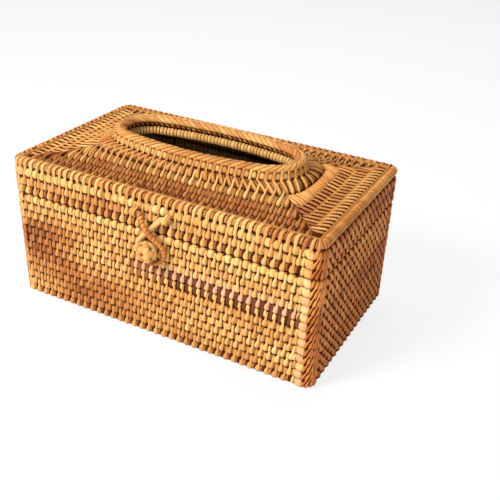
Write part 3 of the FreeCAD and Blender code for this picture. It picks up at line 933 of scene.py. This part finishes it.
# slot border: legs that stand up from the crown, fold over to one side and meet in a herringbone on top
border = {
    "half": 4.15, "under": 1.2, "tone": 0.44, "rightFrom": 50, "rightTone": 0.1,
    "legWidth": 1.8, "legLean": 0.12, "beadLong": 3.8, "beadWidth": 2.9, "beadAt": 1.5, "beadLift": -0.4,
    "width": 5.5, "slant": 1.3, "step": 0.32, "outerTurn": (6, 100), "innerTurn": (184, 88), "innerTurnShade": 0.1,
    "footCane": (1.6, 2.2), "footOffset": 8.1, "footDrop": 1.0, "coreInset": 0.9,
    "knucklePitch": 4.0, "knuckleAt": 236, "knuckleLean": 0.5, "knuckleLift": -0.5, "knuckleTone": 0.7,
}
borderTop = span("slot_border_roll")[1][2]
borderTube = OvalTube(slot["border"] / 2, borderTop - border["under"] - border["half"],
                      slot["border"] / 2, border["half"])
legSection = Section([(7.0, -4.1), (6.1, -2.9), (5.3, -1.6), (4.85, -0.3), (4.7, 0.7), (4.35, 1.6),
                      (3.7, 2.5)])


def plaitBorder():
    weave = Weave(500)
    rng = weave.rng
    spots = np.interp(legPlaces, np.arange(len(borderTube.at)), borderTube.at)
    count = len(spots)
    x = borderTube.place(spots, 0 * spots, 0 * spots)[:, 0]
    base = border["tone"] + runTones(rng, spots, 30, 100, 0.05)
    base = base + (x > border["rightFrom"]) * border["rightTone"]

    def onLegs(a, b, h):
        return borderTube.spot(a, *legSection.place(b, h))

    leg = modelStitch("borderLeg", wrapProfile(legSection.length, border["legWidth"], dip=0.5, rows=9))
    weave.lay(leg, onLegs, spots, lean=border["legLean"] + rng.normal(0, 0.03, count),
              widen=rng.normal(1, 0.06, count), colour=peelTint(base + rng.normal(0, 0.06, count)))
    bead = modelStitch("borderBead", wrapProfile(border["beadLong"], border["beadWidth"], dip=0.6, rows=5))
    weave.lay(bead, onLegs, spots + 0.5 * crown["legPitch"], across=border["beadAt"], lift=border["beadLift"],
              colour=peelTint(base - 0.1 + rng.normal(0, 0.08, count)))
    # painted shade: the inner turn of the border, towards the slot, is drawn darker
    for turn, sign, turnShade in (("outerTurn", 1, 0), ("innerTurn", -1, border["innerTurnShade"])):
        first, last = border[turn]
        reach = abs(math.radians(last - first)) * border["half"]
        profile = wrapProfile(reach, border["width"], rows=9)
        strip = modelStitch("borderStrip", profile, columns=6, roll=0.6, edge=0.9)
        # each strip lies over the next
        strip["verts"][:, 2] += border["step"] * strip["verts"][:, 0] / (border["width"] / 2)

        def put(a, b, h):
            return borderTube.place(a, math.radians(first) + sign * b / border["half"], h)

        tone = base + rng.normal(0, 0.07, count) + turnShade
        weave.lay(strip, put, spots, lean=border["slant"], widen=rng.normal(1, 0.03, count),
                  lift=rng.normal(-0.3, 0.05, count), colour=peelTint(tone), flip=sign < 0)
    weave.core(borderTube.rings(border["coreInset"]))
    foot = OvalTube(border["footOffset"], crownSlotZ - border["footDrop"], *border["footCane"])
    weave.core(foot.rings())  # the cane the legs stand on
    # a row of dark knuckles between the border and the lining
    number = int(borderTube.length / border["knucklePitch"])

    def inward(a, b, h):
        return borderTube.place(a, math.radians(border["knuckleAt"]) - b / border["half"], h)

    tone = border["knuckleTone"] + rng.normal(0, 0.1, number)
    weave.lay(bead, inward, evenly(0, borderTube.length, number, 0), lean=border["knuckleLean"],
              lift=border["knuckleLift"], colour=peelTint(tone), flip=True)
    weave.make("plaited_slot_border", ["slot_border_roll"], "lid", "slot_braid")


plaitBorder()

# slot lining: close upright wraps
lining = {"pitch": 2.6, "width": 2.9, "tone": 0.33, "offset": 3.75, "raise": 0.3, "halfWide": 3.1,
          "halfHigh": 3.3, "from": 70, "turn": 270, "bend": 3.0, "coreInset": 0.6}
liningLow, liningHigh = span("slot_lining_ring")
liningTube = OvalTube(lining["offset"], (liningLow[2] + liningHigh[2]) / 2 + lining["raise"],
                      lining["halfWide"], lining["halfHigh"])


def wrapLining():
    weave = Weave(520)
    rng = weave.rng
    reach = math.radians(lining["turn"]) * lining["bend"]
    strip = modelStitch("liningWrap", wrapProfile(reach, lining["width"], rows=9))
    count = int(liningTube.length / lining["pitch"])
    spots = evenly(0, liningTube.length, count, 0)

    def put(a, b, h):
        return liningTube.place(a, math.radians(lining["from"]) + b / lining["bend"], h)

    tone = lining["tone"] + runTones(rng, spots, 40, 120, 0.07) + rng.normal(0, 0.07, count)
    weave.lay(strip, put, spots, widen=rng.normal(1, 0.04, count),
              lift=rng.normal(-0.1, 0.05, count).clip(-0.3, 0), colour=peelTint(tone))
    weave.core(liningTube.rings(lining["coreInset"]))
    weave.make("wrapped_slot_lining", ["slot_lining_ring"], "lid", "slot_wrap")


wrapLining()
print("slot border and lining made")

# floor of the box: nested square rows closed by one straight cane
boxFloor = {"pitch": 3.5, "row": 6.2, "tone": 0.82, "lean": -0.12, "margin": 3, "lengthen": 1.04,
            "coreWide": 3.3, "heartWide": 2.6, "coreHigh": 2.2, "coreSides": 8}
floorHigh = span(floorRows[0])[1]
floorMiddle = floorHigh[2] / 2


def floorFace(h, under):
    return floorMiddle + (-1 if under else 1) * (floorMiddle + h)


def squarePut(reachX, reachY, under):
    # the four sides of a square row, one after the other
    def put(a, b, h):
        p = np.zeros(a.shape + (3,))
        start = 0.0
        middle = a.mean(axis=-1, keepdims=True)
        for side, (sx, sy) in enumerate(corners):
            length = 2 * (reachY if side % 2 else reachX)
            dx, dy = math.cos(side * math.pi / 2), math.sin(side * math.pi / 2)
            here = (middle >= start) & (middle < start + length)
            at = a - start
            p[..., 0] = np.where(here, sx * reachX + dx * at - dy * b, p[..., 0])
            p[..., 1] = np.where(here, sy * reachY + dy * at + dx * b, p[..., 1])
            start += length
        p[..., 2] = floorFace(h, under)
        return p
    return put


def weaveFloor():
    rib = stitches["insideRib"]
    angle = fullTurn(boxFloor["coreSides"])
    for number, node in enumerate(floorRows):
        weave = Weave(600 + number)
        rng = weave.rng
        inset = boxFloor["row"] * (number + 0.5)
        reachX, reachY = floorHigh[0] - inset, floorHigh[1] - inset
        spots = []
        start = 0.0
        for length in (2 * reachX, 2 * reachY, 2 * reachX, 2 * reachY):
            usable = length - boxFloor["margin"]
            count = max(1, int(usable / boxFloor["pitch"]))
            spots.append(start + length / 2 + (np.arange(count) - (count - 1) / 2) * usable / count)
            start += length
        spots = np.concatenate(spots)
        n = len(spots)
        for under in (False, True):
            tone = boxFloor["tone"] + runTones(rng, spots, 30, 120, 0.1) + rng.normal(0, 0.06, n)
            weave.lay(rib, squarePut(reachX, reachY, under), spots, lengthen=boxFloor["lengthen"],
                      lean=boxFloor["lean"], widen=rng.normal(1.0, 0.05, n),
                      lift=rng.normal(-0.1, 0.05, n).clip(-0.3, 0), colour=peelTint(tone), flip=under)
        grow = boxFloor["coreWide"] * np.cos(angle)
        level = floorMiddle + boxFloor["coreHigh"] * np.sin(angle)
        rings = [np.stack([sx * (reachX + grow), sy * (reachY + grow), level], -1) for sx, sy in corners]
        weave.core(np.array(rings), tints["floorCore"])
        weave.make("woven_" + node, [node], "box", "floor_cane")
    weave = Weave(640)
    heartLow, heartHigh = span("floor_heart_cane")
    count = int((heartHigh[0] - heartLow[0]) / boxFloor["pitch"])
    for under in (False, True):
        def put(a, b, h):
            return np.stack([a, b, floorFace(h, under)], -1)

        tone = boxFloor["tone"] + weave.rng.normal(0, 0.08, count)
        weave.lay(rib, put, evenly(heartLow[0], heartHigh[0], count), lean=boxFloor["lean"],
                  colour=peelTint(tone), flip=under)
    rings = [np.stack([np.full(len(angle), x), boxFloor["heartWide"] * np.cos(-angle),
                       floorMiddle + boxFloor["coreHigh"] * np.sin(-angle)], -1)
             for x in (heartLow[0] + 0.4, heartHigh[0] - 0.4)]
    weave.core(np.array(rings), tints["floorCore"], closed=False)
    weave.make("woven_floor_heart", ["floor_heart_cane"], "box", "floor_cane")


weaveFloor()
print("floor woven:", len(floorRows) + 1)

# hinge ties: three turns of peel side by side round both canes
tie = {"turns": 3, "outer": 3.75, "tone": 0.42, "stations": 36,
       "drop": (1.0, 0.35, 0.05, 0.0, 0.05, 0.35, 1.0)}


def tieHinges():
    angle = fullTurn(tie["stations"])
    middleZ = np.where(np.sin(angle) >= 0, hinge["axisZ"], hinge["wallCoreZ"])
    reach = tie["outer"] - np.array(tie["drop"])  # the two edges of a strip turn in
    side = np.linspace(-1, 1, len(reach))
    # painted shade: the turns of a tie that lie inside the box are darkened
    shade = np.where(np.cos(angle) < -0.2, tints["inside"], 1.0)  # darker inside the box
    for k, name in enumerate(("left", "right")):
        weave = Weave(700 + k)
        low, high = span("hinge_tie_" + name)
        width = (high[0] - low[0]) / tie["turns"]
        for turn in range(tie["turns"]):
            grid = np.zeros((len(angle), len(reach), 3))
            grid[:, :, 0] = low[0] + (turn + 0.5) * width - side[None] * width * 0.485
            grid[:, :, 1] = hinge["axisY"] + np.cos(angle)[:, None] * reach[None]
            grid[:, :, 2] = middleZ[:, None] + np.sin(angle)[:, None] * reach[None]
            tint = peelTint(tie["tone"] + weave.rng.normal(0, 0.08))
            weave.band(grid, np.repeat(shade, len(reach))[:, None] * tint[None], closed=True)
        weave.make("peel_hinge_tie_" + name, ["hinge_tie_" + name], "box", "peel_tie")


tieHinges()

# knob: six bands of peel woven over and under into a ball
knob = {"radius": 7.0, "bandWidth": 5.2, "weave": 0.26, "inset": 0.3, "heart": 5.7, "faces": (0.12, -1, 0.2),
        "tones": (0.16, 0.42, 0.58, 0.28, 0.5, 0.3), "drop": (0.75, 0.22, 0.05, 0.0, 0.05, 0.22, 0.75)}
knobCentre = sum(span("knob_ball")) / 2


def weaveKnob():
    weave = Weave(720)
    golden = (1 + math.sqrt(5)) / 2
    axes = [Vector(v).normalized() for v in ((0, 1, golden), (0, -1, golden), (1, golden, 0), (-1, golden, 0),
                                            (golden, 0, 1), (golden, 0, -1))]
    turn = axes[0].rotation_difference(Vector(knob["faces"]).normalized())
    axes = [turn @ v for v in axes]
    frames = []
    for k, axis in enumerate(axes):
        first = axis.cross(axes[(k + 1) % 6]).normalized()
        frames.append((first, axis.cross(first)))

    def over(k, spot, start):
        first, second = frames[k]
        return start * (-1) ** round(math.degrees(math.atan2(spot.dot(second), spot.dot(first))) / 36)

    # which bands start over and which under, so that all crossings alternate
    best, signs = -1, None
    for code in range(64):
        tried = [1 if code >> k & 1 else -1 for k in range(6)]
        good = 0
        for i in range(6):
            for j in range(i):
                spot = axes[i].cross(axes[j]).normalized()
                good += over(i, spot, tried[i]) != over(j, spot, tried[j])
        if good > best:
            best, signs = good, tried
    angle = fullTurn(60)
    drop = np.array(knob["drop"])
    tilt = np.linspace(-1, 1, len(drop)) * knob["bandWidth"] / 2 / knob["radius"]
    for k, axis in enumerate(axes):
        first, second = (np.array(v) for v in frames[k])
        radius = knob["radius"] - knob["inset"] + knob["weave"] * signs[k] * np.cos(5 * angle)
        flat = np.cos(angle)[:, None] * first[None] + np.sin(angle)[:, None] * second[None]
        grid = flat[:, None] * np.cos(tilt)[None, :, None]
        grid = grid + np.array(axis)[None, None] * np.sin(-tilt)[None, :, None]
        grid = grid * (radius[:, None] - drop[None])[:, :, None] + knobCentre
        weave.band(grid, peelTint(knob["tones"][k]), closed=True, edge=0.95)
    # dark heart of the ball: painted shade seen through the gaps between the bands
    around = fullTurn(12)
    ball = []
    for t in np.linspace(-math.pi / 2, math.pi / 2, 9):
        r = max(0.02, knob["heart"] * math.cos(t))
        level = np.full(len(around), knob["heart"] * math.sin(t))
        ball.append(knobCentre + np.stack([r * np.cos(around), level, r * np.sin(around)], -1))
    weave.core(np.array(ball), closed=False)
    weave.make("woven_knob", ["knob_ball"], "box", "knob_peel")


weaveKnob()
print("ties and knob made")

# clasp loop: two crossed legs over a ring, wrapped on one leg and round the ring
clasp = {"rod": 3.8, "axisY": -67.6, "axisZ": 89.7, "rise": 22.4, "ringGap": 0.7, "crossGap": 0.5,
         "crossRun": 1.8, "endBend": 2.6, "crossBend": 5.0, "eyeletSpacing": 23.6, "eyeletWidth": 4.0,
         "sideGap": 0.5, "pitch": 2.75, "wrapFrom": 4.6, "wrapShare": 0.62, "wrapWidth": 3.0,
         "wrapLean": 0.14, "tone": 0.58}


def claspLine():
    rod = clasp["rod"] / 2
    ring = knob["radius"] + clasp["ringGap"] + rod
    drop = math.hypot(clasp["rise"], clasp["axisY"] - knobCentre[1])
    beside = clasp["eyeletWidth"] / 2 + clasp["sideGap"]
    endX = clasp["eyeletSpacing"] / 2 + beside
    bendX = clasp["eyeletSpacing"] / 2 - beside - clasp["endBend"] / 2
    slope = math.atan2(bendX, drop) + math.asin(ring / math.hypot(bendX, drop))
    crossDrop = bendX / math.tan(slope)
    crossOut = clasp["rod"] + clasp["crossGap"]
    crossStep = clasp["crossRun"] / math.tan(slope)
    turn = (math.pi + 2 * slope) / 4
    tip = ring / math.cos(turn / 2)
    points = [(-endX, 0, 0), (-bendX, 0, 0), (-clasp["crossRun"], crossDrop - crossStep, crossOut),
              (clasp["crossRun"], crossDrop + crossStep, crossOut)]
    bends = [0, clasp["endBend"], clasp["crossBend"], clasp["crossBend"]]
    for k in range(4):
        angle = math.pi / 2 + slope - turn * (k + 0.5)
        points.append((tip * math.sin(angle), drop + tip * math.cos(angle), 0))
        bends.append(ring * 0.98)
    points += [(bendX, 0, 0), (endX, 0, 0)]
    bends += [clasp["endBend"], 0]
    places = [np.array((x, clasp["axisY"] - out, clasp["axisZ"] - low)) for x, low, out in points]
    line = [places[0]]
    for k in range(1, len(places) - 1):
        here, after = places[k] - places[k - 1], places[k + 1] - places[k]
        here, after = here / np.linalg.norm(here), after / np.linalg.norm(after)
        back = bends[k] * math.tan(math.acos(np.clip(here @ after, -1, 1)) / 2)
        start, end = places[k] - here * back, places[k] + after * back
        corner = places[k] * 0.97 + 0.03 * (start + end) / 2
        line += [(1 - t) ** 2 * start + 2 * t * (1 - t) * corner + t ** 2 * end for t in np.linspace(0, 1, 8)]
    line = np.array(line + [places[-1]])
    at = runLength(line)
    even = np.linspace(0, at[-1], 120)
    return even, readOff(even, at, line)


class Rod:
    # a bent rod with a frame carried along it
    def __init__(self, at, line):
        self.at, self.line = at, line
        run = np.gradient(line, axis=0)
        run = run / np.linalg.norm(run, axis=1)[:, None]
        side = np.array((0.0, -1.0, 0.0))
        sides = []
        for r in run:
            side = side - (side @ r) * r
            side = side / np.linalg.norm(side)
            sides.append(side)
        self.side = np.array(sides)
        self.up = np.cross(run, self.side)
        self.length = at[-1]

    def place(self, a, angle, radius):
        line, side, up = (readOff(a, self.at, values) for values in (self.line, self.side, self.up))
        around = np.cos(angle)[..., None] * side + np.sin(angle)[..., None] * up
        return line + around * radius[..., None]


def bendClasp():
    weave = Weave(740)
    rng = weave.rng
    rod = Rod(*claspLine())
    radius = clasp["rod"] / 2
    wrapped = rod.length * clasp["wrapShare"]
    places = np.linspace(0, 2 * math.pi * radius, 9)
    profile = [(place, -0.16 if 0 < k < 8 else -0.3, clasp["wrapWidth"]) for k, place in enumerate(places)]
    collar = modelStitch("claspWrap", profile, roll=0.55)
    count = int(wrapped / clasp["pitch"])

    def put(a, b, h):
        return rod.place(a, math.pi * 0.5 + b / radius, radius + h)

    tone = clasp["tone"] + rng.normal(0, 0.09, count)
    weave.lay(collar, put, evenly(clasp["wrapFrom"], wrapped, count), lean=clasp["wrapLean"],
              widen=rng.normal(1, 0.05, count), colour=peelTint(tone) * tints["redder"], flip=True)
    stations, sides = 70, 12
    angle = -fullTurn(sides)[None] * np.ones((stations, 1))
    for first, last, thinner, colour, tuckShade in ((0.0, wrapped, 0.35, tints["claspCore"], 0.2),
                                               (wrapped - 1.0, rod.length, 0.12, tints["claspRod"], 0.0)):
        a = np.linspace(first, last, stations)[:, None] * np.ones(sides)
        swell = radius - thinner + 0.1 * np.cos(a / 9.0)
        weave.core(rod.place(a, angle, swell), colour, closed=False, tuckShade=tuckShade, bare=False)
    weave.make("wrapped_clasp_loop", ["clasp_loop"], "clasp_loop", "loop_cane")


bendClasp()

# eyelets: two peel straps over each end of the loop
eyelet = {"strips": 2, "collar": 2.95, "tone": 0.4, "footOut": 0.15, "foot": 3.4, "kneeOut": 0.8, "knee": 2.9,
          "drop": (0.55, 0.12, 0.0, 0.12, 0.55), "edge": 0.7,
          "curlTurns": 1.3, "curl": 2.1, "curlShrinks": 0.9, "curlX": 3.2, "curlUp": 1.5, "curlWidth": 1.5,
          "curlTone": 0.12}


def strapEyelets():
    wallY = -halfWidth
    bow = np.radians(np.arange(40, -41, -10))
    drop = np.array(eyelet["drop"]) * eyelet["edge"]
    side = np.linspace(-1, 1, len(drop))
    collar = eyelet["collar"]
    footY, kneeY = wallY - eyelet["footOut"], wallY - eyelet["kneeOut"]
    line = np.array([(footY, eyelet["foot"]), (kneeY, eyelet["knee"])]
                    + [(clasp["axisY"] - collar * math.cos(t), collar * math.sin(t)) for t in bow]
                    + [(kneeY, -eyelet["knee"]), (footY, -eyelet["foot"])])
    for k, name in enumerate(("left", "right")):
        weave = Weave(760 + k)
        node = "loop_eyelet_" + name
        low, high = span(node)
        width = (high[0] - low[0]) / eyelet["strips"]
        middleZ = (low[2] + high[2]) / 2
        for strip in range(eyelet["strips"]):
            grid = np.zeros((len(line), len(drop), 3))
            grid[:, :, 0] = low[0] + (strip + 0.5) * width - side[None] * width * 0.49
            grid[:, :, 1] = line[:, :1] + drop[None]
            grid[:, :, 2] = middleZ + line[:, 1:] * (1 - drop[None] / eyelet["foot"])
            weave.band(grid, peelTint(eyelet["tone"] + weave.rng.normal(0, 0.1)), tuckEnds=0.6)
        if name == "left":
            # loose end of the strap, curled up
            turns = np.linspace(0, eyelet["curlTurns"] * 2 * math.pi, 26)[:, None]
            curl = eyelet["curl"] - eyelet["curlShrinks"] * turns / turns[-1]
            grid = np.zeros((len(turns), 3, 3))
            grid[:, :, 0] = eyelet["curlX"] + curl * np.cos(turns)
            grid[:, :, 1] = wallY - 0.5 - np.linspace(0, eyelet["curlWidth"], 3)
            grid[:, :, 2] = middleZ + eyelet["curlUp"] + curl * np.sin(turns)
            weave.band(grid, peelTint(eyelet["curlTone"]), edge=0.2)
        weave.make("peel_" + node, [node], "lid", "peel_tie")


strapEyelets()
print("clasp and eyelets made")

peg = {"dark": (92, 56, 32), "pale": (158, 106, 62), "grain": (2200, 180, 2200)}


def pegMaterial():
    material, w, shader = newMaterial("pegCane")
    grain = w.node("ShaderNodeTexCoord", out=3).noise(peg["grain"], 3.0)
    dark, pale = (tuple(linear(peg[key])) + (1,) for key in ("dark", "pale"))
    w.node("ShaderNodeMix", {"data_type": "RGBA"}, {0: grain, 6: dark, 7: pale}, 2).feed(shader, "Base Color")
    (grain * 0.3 + 0.45).feed(shader, "Roughness")
    bump = w.node("ShaderNodeBump", {}, {"Strength": 0.3, "Distance": 0.0003, "Height": grain})
    bump.feed(shader, "Normal")
    for node in ("knob_peg", "knob_inner_stop"):
        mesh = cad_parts[node].data
        mesh.materials.clear()
        mesh.materials.append(material)


pegMaterial()

# camera, light and studio floor; the focal length is in the pixels of a picture of that width
view = {"place": (233.1, -399.5, 298.0), "turn": 26.44, "tilt": 29.65, "roll": 2.75, "focal": 751.4,
        "picture": 500, "sensor": 36}
lights = {
    # place, aim, size, power
    "keyLight": ((-0.55, -0.9, 0.95), (0, 0, 0.05), 0.45, 22),
    "fillLight": ((0.75, -0.85, 0.55), (0, 0, 0.05), 0.35, 4.5),
    "topLight": ((-0.1, 0.45, 1.2), (0, 0, 0.1), 0.6, 7),
}
studio = {"size": 6, "below": -0.0004, "grey": 0.86, "seen": 0.8, "surround": 0.2}


def aimCamera():
    camera = bpy.data.objects.new("camera", bpy.data.cameras.new("camera"))
    bpy.context.scene.collection.objects.link(camera)
    turn, tilt, roll = (math.radians(view[key]) for key in ("turn", "tilt", "roll"))
    back = Vector((math.sin(turn) * math.cos(tilt), -math.cos(turn) * math.cos(tilt), math.sin(tilt)))
    level = Vector((math.cos(turn), math.sin(turn), 0))
    right = math.cos(roll) * level + math.sin(roll) * back.cross(level)
    spot = Vector(view["place"]) * mm
    turned = Matrix((right, back.cross(right), back)).transposed().to_4x4()
    camera.matrix_world = Matrix.Translation(spot) @ turned
    camera.data.sensor_width = view["sensor"]
    camera.data.lens = view["focal"] * view["sensor"] / view["picture"]
    camera.data.clip_start = 0.01
    bpy.context.scene.camera = camera


def areaLight(name, place, aim, size, power):
    lamp = bpy.data.objects.new(name, bpy.data.lights.new(name, "AREA"))
    lamp.data.energy = power
    lamp.data.size = size
    bpy.context.scene.collection.objects.link(lamp)
    lamp.location = place
    lamp.rotation_euler = (Vector(aim) - Vector(place)).to_track_quat("-Z", "Y").to_euler()


def seenByCamera(tree):
    return Wire(tree).node("ShaderNodeLightPath", out="Is Camera Ray")


def brightSurround():
    world = bpy.context.scene.world or bpy.data.worlds.new("surround")
    bpy.context.scene.world = world
    world.use_nodes = True
    tree = world.node_tree
    tree.nodes.clear()
    strength = seenByCamera(tree) * studio["seen"] + studio["surround"]
    light = strength.node("ShaderNodeBackground", {}, {"Color": (1, 1, 1, 1), "Strength": strength})
    light.feed(tree.nodes.new("ShaderNodeOutputWorld"), "Surface")


def layFloor():
    bpy.ops.object.select_all(action="DESELECT")
    bpy.ops.mesh.primitive_plane_add(size=studio["size"], location=(0, 0, studio["below"]))
    floor = bpy.context.object
    floor.name = "floor"
    material, w, shader = newMaterial("paleFloor")
    plain = w.node("ShaderNodeBsdfDiffuse", {}, {"Color": (studio["grey"],) * 3 + (1,)})
    white = w.node("ShaderNodeEmission", {}, {"Color": (1, 1, 1, 1), "Strength": 1.0})
    seen = seenByCamera(w.tree) * studio["seen"]
    mixed = w.node("ShaderNodeMixShader", {}, {0: seen, 1: plain, 2: white})
    mixed.feed(w.tree.nodes["Material Output"], "Surface")
    floor.data.materials.append(material)


aimCamera()
for name, light in lights.items():
    areaLight(name, *light)
brightSurround()
layFloor()
bpy.context.scene.view_settings.view_transform = "Standard"
print("camera, light and floor set")
